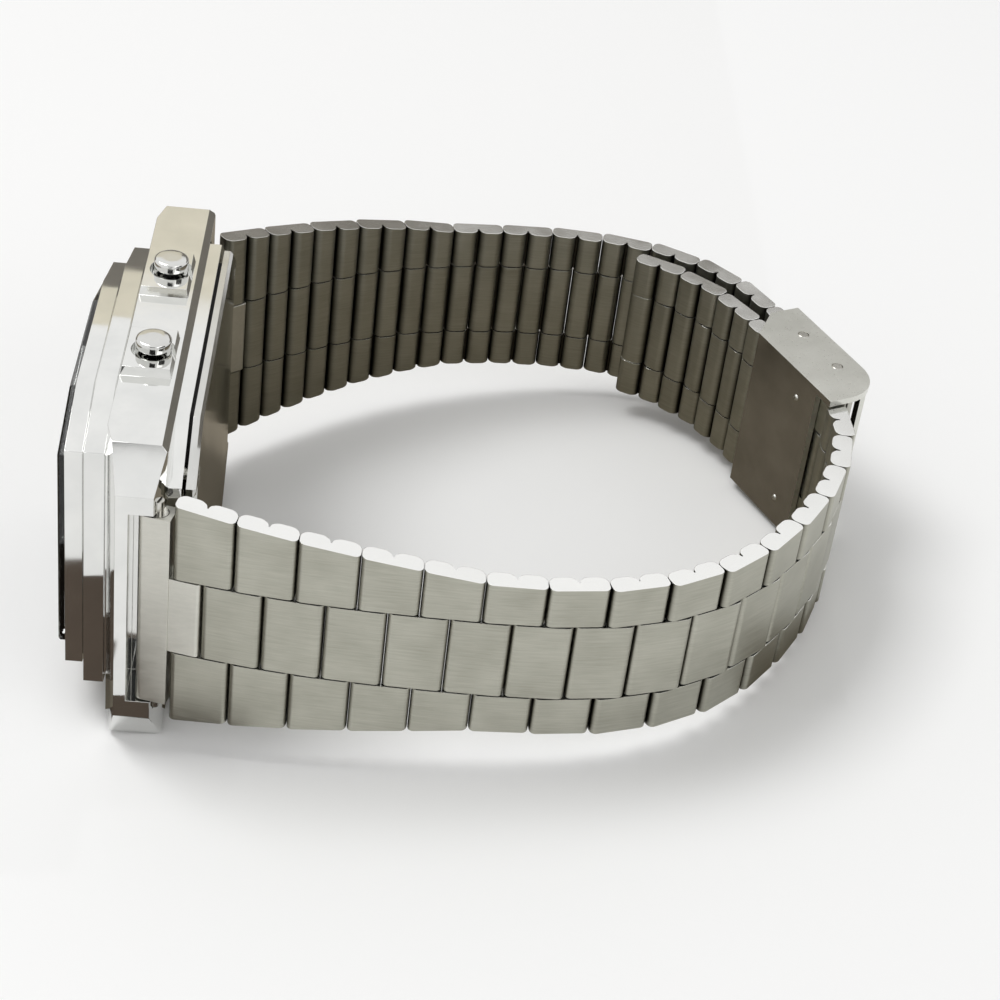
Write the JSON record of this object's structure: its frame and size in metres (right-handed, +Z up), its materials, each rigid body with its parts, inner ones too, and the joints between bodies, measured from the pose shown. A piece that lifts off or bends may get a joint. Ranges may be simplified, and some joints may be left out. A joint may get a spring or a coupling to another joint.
{
  "type": "digital wristwatch",
  "caption": "Digital watch with a stepped polished steel case on a folded-link steel bracelet with a sliding clasp, lying on its side with the buttons up.",
  "frame": {"origin": "middle of the watch in plan, on the ground it lies on", "axes": "+X from the dial towards the clasp, +Y from 12 o'clock to 6 o'clock, +Z up; the watch lies on its 3 o'clock side and leans a few degrees about Y"},
  "size_m": [0.067, 0.0544, 0.03],
  "materials": {
    "polished_steel": "mirror polished",
    "brushed_steel": "brushed along the strap, bright rolled edges",
    "satin_steel": "fine satin",
    "crystal_glass": "clear and glossy over a dark dial",
    "dial_print": "dark printed mask",
    "display": "grey-green liquid crystal",
    "light_film": "white film",
    "module_plastic": "moulded black",
    "board_green": "solder mask",
    "spring_metal": "rolled strip",
    "disc_brass": "plain brass",
    "seal_rubber": "matt black",
    "strip_rubber": "pale translucent"
  },
  "bodies": {
    "case": {"case_body": "polished_steel", "crystal": "crystal_glass", "dial_mask": "dial_print", "lcd_glass": "display", "light_panel": "light_film", "zebra_strips": "strip_rubber", "module_frame": "module_plastic", "circuit_board": "board_green", "battery_cell": "spring_metal", "battery_clip": "spring_metal", "piezo_disc": "disc_brass", "contact_springs": "spring_metal", "back_gasket": "seal_rubber", "case_back": "satin_steel", "case_back_screws": "satin_steel", "near_spring_bar": "spring_metal", "far_spring_bar": "spring_metal", "button_seals": "seal_rubber"},
    "near_button": {"near_button": "polished_steel"},
    "far_button": {"far_button": "polished_steel"},
    "near_end_link": {"near_end_link": "brushed_steel"},
    "near_row_01": {"near_row_01": "brushed_steel"},
    "near_row_02": {"near_row_02": "brushed_steel"},
    "near_row_03": {"near_row_03": "brushed_steel"},
    "near_row_04": {"near_row_04": "brushed_steel"},
    "near_row_05": {"near_row_05": "brushed_steel"},
    "near_row_06": {"near_row_06": "brushed_steel"},
    "near_row_07": {"near_row_07": "brushed_steel"},
    "near_row_08": {"near_row_08": "brushed_steel"},
    "near_row_09": {"near_row_09": "brushed_steel"},
    "near_row_10": {"near_row_10": "brushed_steel"},
    "near_row_11": {"near_row_11": "brushed_steel"},
    "near_row_12": {"near_row_12": "brushed_steel"},
    "near_row_13": {"near_row_13": "brushed_steel"},
    "near_row_14": {"near_row_14": "brushed_steel"},
    "near_row_15": {"near_row_15": "brushed_steel"},
    "clasp": {"near_row_16": "brushed_steel", "near_row_17": "brushed_steel", "near_row_18": "brushed_steel", "clasp_frame": "polished_steel", "cover_pin": "satin_steel", "strap_pin": "satin_steel"},
    "near_row_19": {"near_row_19": "brushed_steel"},
    "near_row_20": {"near_row_20": "brushed_steel"},
    "tail_end_link": {"tail_end_link": "brushed_steel"},
    "clasp_cover": {"clasp_cover": "satin_steel"},
    "far_end_link": {"far_end_link": "brushed_steel"},
    "far_row_01": {"far_row_01": "brushed_steel"},
    "far_row_02": {"far_row_02": "brushed_steel"},
    "far_row_03": {"far_row_03": "brushed_steel"},
    "far_row_04": {"far_row_04": "brushed_steel"},
    "far_row_05": {"far_row_05": "brushed_steel"},
    "far_row_06": {"far_row_06": "brushed_steel"},
    "far_row_07": {"far_row_07": "brushed_steel"},
    "far_row_08": {"far_row_08": "brushed_steel"},
    "far_row_09": {"far_row_09": "brushed_steel"},
    "far_row_10": {"far_row_10": "brushed_steel"},
    "far_row_11": {"far_row_11": "brushed_steel"},
    "far_row_12": {"far_row_12": "brushed_steel"},
    "far_row_13": {"far_row_13": "brushed_steel"}
  },
  "joints": [
    {"name": "near_end_swing", "type": "hinge", "parent": "case", "child": "near_end_link", "pos_m": [-0.02404, -0.02386, 0.01393], "axis": [-0.1092, 0, -0.994], "range_deg": [0, 20]},
    {"name": "near_bend_01", "type": "hinge", "parent": "near_end_link", "child": "near_row_01", "pos_m": [-0.02161, -0.02443, 0.01366], "axis": [-0.1092, 0, -0.994], "range_deg": [0, 3]},
    {"name": "near_bend_02", "type": "hinge", "parent": "near_row_01", "child": "near_row_02", "pos_m": [-0.01708, -0.02523, 0.01316], "axis": [-0.1092, 0, -0.994], "range_deg": [0, 3]},
    {"name": "near_bend_03", "type": "hinge", "parent": "near_row_02", "child": "near_row_03", "pos_m": [-0.01251, -0.0258, 0.01266], "axis": [-0.1092, 0, -0.994], "range_deg": [0, 3]},
    {"name": "near_bend_04", "type": "hinge", "parent": "near_row_03", "child": "near_row_04", "pos_m": [-0.00792, -0.02612, 0.01216], "axis": [-0.1092, 0, -0.994], "range_deg": [0, 2]},
    {"name": "near_bend_05", "type": "hinge", "parent": "near_row_04", "child": "near_row_05", "pos_m": [-0.00332, -0.02628, 0.01165], "axis": [-0.1092, 0, -0.994], "range_deg": [0, 1]},
    {"name": "near_bend_06", "type": "hinge", "parent": "near_row_05", "child": "near_row_06", "pos_m": [0.00128, -0.02636, 0.01115], "axis": [-0.1092, 0, -0.994], "range_deg": [0, 3]},
    {"name": "near_bend_07", "type": "hinge", "parent": "near_row_06", "child": "near_row_07", "pos_m": [0.00588, -0.0262, 0.01064], "axis": [-0.1092, 0, -0.994], "range_deg": [0, 6]},
    {"name": "near_bend_08", "type": "hinge", "parent": "near_row_07", "child": "near_row_08", "pos_m": [0.01044, -0.02556, 0.01014], "axis": [-0.1092, 0, -0.994], "range_deg": [0, 10]},
    {"name": "near_bend_09", "type": "hinge", "parent": "near_row_08", "child": "near_row_09", "pos_m": [0.01482, -0.02413, 0.00966], "axis": [-0.1092, 0, -0.994], "range_deg": [0, 12]},
    {"name": "near_bend_10", "type": "hinge", "parent": "near_row_09", "child": "near_row_10", "pos_m": [0.0188, -0.02181, 0.00922], "axis": [-0.1092, 0, -0.994], "range_deg": [0, 13]},
    {"name": "near_bend_11", "type": "hinge", "parent": "near_row_10", "child": "near_row_11", "pos_m": [0.02217, -0.01865, 0.00885], "axis": [-0.1092, 0, -0.994], "range_deg": [0, 10]},
    {"name": "near_bend_12", "type": "hinge", "parent": "near_row_11", "child": "near_row_12", "pos_m": [0.02494, -0.01495, 0.00855], "axis": [-0.1092, 0, -0.994], "range_deg": [0, 7]},
    {"name": "near_bend_13", "type": "hinge", "parent": "near_row_12", "child": "near_row_13", "pos_m": [0.02724, -0.01095, 0.0083], "axis": [-0.1092, 0, -0.994], "range_deg": [0, 9]},
    {"name": "near_bend_14", "type": "hinge", "parent": "near_row_13", "child": "near_row_14", "pos_m": [0.02889, -0.00662, 0.00811], "axis": [-0.1092, 0, -0.994], "range_deg": [0, 11]},
    {"name": "near_bend_15", "type": "hinge", "parent": "near_row_14", "child": "near_row_15", "pos_m": [0.02969, -0.00206, 0.00803], "axis": [-0.1092, 0, -0.994], "range_deg": [0, 14]},
    {"name": "clasp_bend", "type": "hinge", "parent": "near_row_15", "child": "clasp", "pos_m": [0.02937, 0.00256, 0.00806], "axis": [-0.1092, 0, -0.994], "range_deg": [0, 23]},
    {"name": "near_bend_19", "type": "hinge", "parent": "clasp", "child": "near_row_19", "pos_m": [0.0231, 0.01493, 0.00875], "axis": [-0.1092, 0, -0.994], "range_deg": [0, 8]},
    {"name": "near_bend_20", "type": "hinge", "parent": "near_row_19", "child": "near_row_20", "pos_m": [0.02046, 0.01872, 0.00904], "axis": [-0.1092, 0, -0.994], "range_deg": [0, 15]},
    {"name": "tail_end_bend", "type": "hinge", "parent": "near_row_20", "child": "tail_end_link", "pos_m": [0.01693, 0.0217, 0.00943], "axis": [-0.1092, 0, -0.994], "range_deg": [0, 14.01]},
    {"name": "far_end_swing", "type": "hinge", "parent": "case", "child": "far_end_link", "pos_m": [-0.02404, 0.01334, 0.01393], "axis": [0.1092, 0, 0.994], "range_deg": [0, 20]},
    {"name": "far_bend_01", "type": "hinge", "parent": "far_end_link", "child": "far_row_01", "pos_m": [-0.02208, 0.01489, 0.01371], "axis": [0.1092, 0, 0.994], "range_deg": [0, 1.07]},
    {"name": "far_bend_02", "type": "hinge", "parent": "far_row_01", "child": "far_row_02", "pos_m": [-0.01842, 0.0177, 0.01331], "axis": [0.1092, 0, 0.994], "range_deg": [0, 3.2]},
    {"name": "far_bend_03", "type": "hinge", "parent": "far_row_02", "child": "far_row_03", "pos_m": [-0.01461, 0.02029, 0.01289], "axis": [0.1092, 0, 0.994], "range_deg": [0, 5.33]},
    {"name": "far_bend_04", "type": "hinge", "parent": "far_row_03", "child": "far_row_04", "pos_m": [-0.01057, 0.02252, 0.01245], "axis": [0.1092, 0, 0.994], "range_deg": [0, 7.46]},
    {"name": "far_bend_05", "type": "hinge", "parent": "far_row_04", "child": "far_row_05", "pos_m": [-0.00629, 0.0242, 0.01198], "axis": [0.1092, 0, 0.994], "range_deg": [0, 6.39]},
    {"name": "far_bend_06", "type": "hinge", "parent": "far_row_05", "child": "far_row_06", "pos_m": [-0.00184, 0.02539, 0.01149], "axis": [0.1092, 0, 0.994], "range_deg": [0, 6.39]},
    {"name": "far_bend_07", "type": "hinge", "parent": "far_row_06", "child": "far_row_07", "pos_m": [0.00271, 0.02607, 0.01099], "axis": [0.1092, 0, 0.994], "range_deg": [0, 5.33]},
    {"name": "far_bend_08", "type": "hinge", "parent": "far_row_07", "child": "far_row_08", "pos_m": [0.00731, 0.02633, 0.01048], "axis": [0.1092, 0, 0.994], "range_deg": [0, 7.46]},
    {"name": "far_bend_09", "type": "hinge", "parent": "far_row_08", "child": "far_row_09", "pos_m": [0.0119, 0.02599, 0.00998], "axis": [0.1092, 0, 0.994], "range_deg": [0, 9.59]},
    {"name": "far_bend_10", "type": "hinge", "parent": "far_row_09", "child": "far_row_10", "pos_m": [0.01637, 0.02488, 0.00949], "axis": [0.1092, 0, 0.994], "range_deg": [0, 14.92]},
    {"name": "far_bend_11", "type": "hinge", "parent": "far_row_10", "child": "far_row_11", "pos_m": [0.0204, 0.02265, 0.00905], "axis": [0.1092, 0, 0.994], "range_deg": [0, 17.05]},
    {"name": "far_bend_12", "type": "hinge", "parent": "far_row_11", "child": "far_row_12", "pos_m": [0.02361, 0.01933, 0.00869], "axis": [0.1092, 0, 0.994], "range_deg": [0, 13.85]},
    {"name": "far_bend_13", "type": "hinge", "parent": "far_row_12", "child": "far_row_13", "pos_m": [0.02593, 0.01533, 0.00844], "axis": [0.1092, 0, 0.994], "range_deg": [0, 8.52]},
    {"name": "cover_hinge", "type": "hinge", "parent": "clasp", "child": "clasp_cover", "pos_m": [0.03004, 0.0063, 0.00799], "axis": [-0.1092, 0, -0.994], "range_deg": [0, 85]},
    {"name": "near_button_press", "type": "slide", "parent": "case", "child": "near_button", "axis": [-0.1092, 0, -0.994], "range_m": [0, 0.00042], "stiffness_N_per_m": 2000},
    {"name": "far_button_press", "type": "slide", "parent": "case", "child": "far_button", "axis": [-0.1092, 0, -0.994], "range_m": [0, 0.00042], "stiffness_N_per_m": 2000}
  ],
  "couplings": [
    {"joint": "near_bend_01", "follows": "near_end_swing", "ratio": 0.15},
    {"joint": "near_bend_02", "follows": "near_end_swing", "ratio": 0.15},
    {"joint": "near_bend_03", "follows": "near_end_swing", "ratio": 0.15},
    {"joint": "near_bend_04", "follows": "near_end_swing", "ratio": 0.1},
    {"joint": "near_bend_05", "follows": "near_end_swing", "ratio": 0.05},
    {"joint": "near_bend_06", "follows": "near_end_swing", "ratio": 0.15},
    {"joint": "near_bend_07", "follows": "near_end_swing", "ratio": 0.3},
    {"joint": "near_bend_08", "follows": "near_end_swing", "ratio": 0.5},
    {"joint": "near_bend_09", "follows": "near_end_swing", "ratio": 0.6},
    {"joint": "near_bend_10", "follows": "near_end_swing", "ratio": 0.65},
    {"joint": "near_bend_11", "follows": "near_end_swing", "ratio": 0.5},
    {"joint": "near_bend_12", "follows": "near_end_swing", "ratio": 0.35},
    {"joint": "near_bend_13", "follows": "near_end_swing", "ratio": 0.45},
    {"joint": "near_bend_14", "follows": "near_end_swing", "ratio": 0.55},
    {"joint": "near_bend_15", "follows": "near_end_swing", "ratio": 0.7},
    {"joint": "clasp_bend", "follows": "near_end_swing", "ratio": 1.15},
    {"joint": "near_bend_19", "follows": "near_end_swing", "ratio": 0.39978},
    {"joint": "near_bend_20", "follows": "near_end_swing", "ratio": 0.74999},
    {"joint": "tail_end_bend", "follows": "near_end_swing", "ratio": 0.7003},
    {"joint": "far_bend_01", "follows": "far_end_swing", "ratio": 0.053268},
    {"joint": "far_bend_02", "follows": "far_end_swing", "ratio": 0.15981},
    {"joint": "far_bend_03", "follows": "far_end_swing", "ratio": 0.26634},
    {"joint": "far_bend_04", "follows": "far_end_swing", "ratio": 0.37288},
    {"joint": "far_bend_05", "follows": "far_end_swing", "ratio": 0.31961},
    {"joint": "far_bend_06", "follows": "far_end_swing", "ratio": 0.31961},
    {"joint": "far_bend_07", "follows": "far_end_swing", "ratio": 0.26634},
    {"joint": "far_bend_08", "follows": "far_end_swing", "ratio": 0.37288},
    {"joint": "far_bend_09", "follows": "far_end_swing", "ratio": 0.47942},
    {"joint": "far_bend_10", "follows": "far_end_swing", "ratio": 0.74576},
    {"joint": "far_bend_11", "follows": "far_end_swing", "ratio": 0.8523},
    {"joint": "far_bend_12", "follows": "far_end_swing", "ratio": 0.69249},
    {"joint": "far_bend_13", "follows": "far_end_swing", "ratio": 0.42615}
  ]
}
